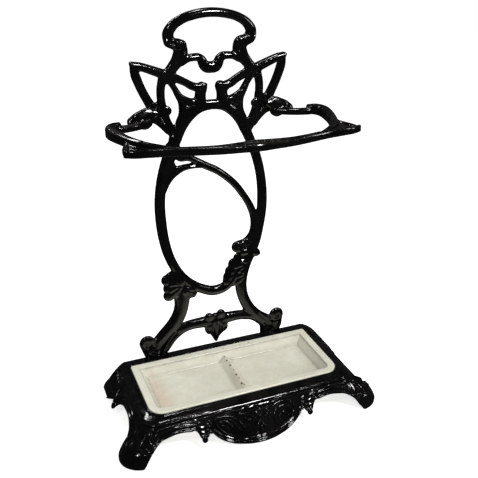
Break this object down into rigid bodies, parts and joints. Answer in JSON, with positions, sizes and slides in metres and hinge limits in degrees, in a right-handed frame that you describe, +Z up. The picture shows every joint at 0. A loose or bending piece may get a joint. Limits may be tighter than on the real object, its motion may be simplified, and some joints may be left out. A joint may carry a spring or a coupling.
{
  "type": "umbrella stand",
  "caption": "Openwork cast-iron umbrella stand: footed base with a lift-out enamel drip tray, tall curved back with a handle, and a bowed rail that holds the umbrellas.",
  "frame": {"origin": "on the floor, in the middle of the stand's box", "axes": "+X to the right as the rail and the front apron are faced, +Y from the front to the back, +Z up"},
  "size_m": [0.4864, 0.2551, 0.702],
  "materials": {
    "black_iron": "gloss black enamel over cast iron",
    "cream_enamel": "gloss cream vitreous enamel over cast iron, stained and chipped",
    "fastener_steel": "blackened steel"
  },
  "bodies": {
    "stand": {"base_casting": "black_iron", "back_casting": "black_iron", "umbrella_rail": "black_iron", "base_screw_left_lower": "fastener_steel", "base_washer_left_lower": "fastener_steel", "base_nut_left_lower": "fastener_steel", "base_screw_left_upper": "fastener_steel", "base_washer_left_upper": "fastener_steel", "base_nut_left_upper": "fastener_steel", "base_screw_right_lower": "fastener_steel", "base_washer_right_lower": "fastener_steel", "base_nut_right_lower": "fastener_steel", "base_screw_right_upper": "fastener_steel", "base_washer_right_upper": "fastener_steel", "base_nut_right_upper": "fastener_steel", "rail_screw_left": "fastener_steel", "rail_washer_left": "fastener_steel", "rail_screw_right": "fastener_steel", "rail_washer_right": "fastener_steel"},
    "tray": {"drip_tray": "cream_enamel"}
  },
  "joints": [
    {"name": "tray_lift", "type": "slide", "parent": "stand", "child": "tray", "axis": [0, 0, 1], "range_m": [0, 0.15]}
  ]
}
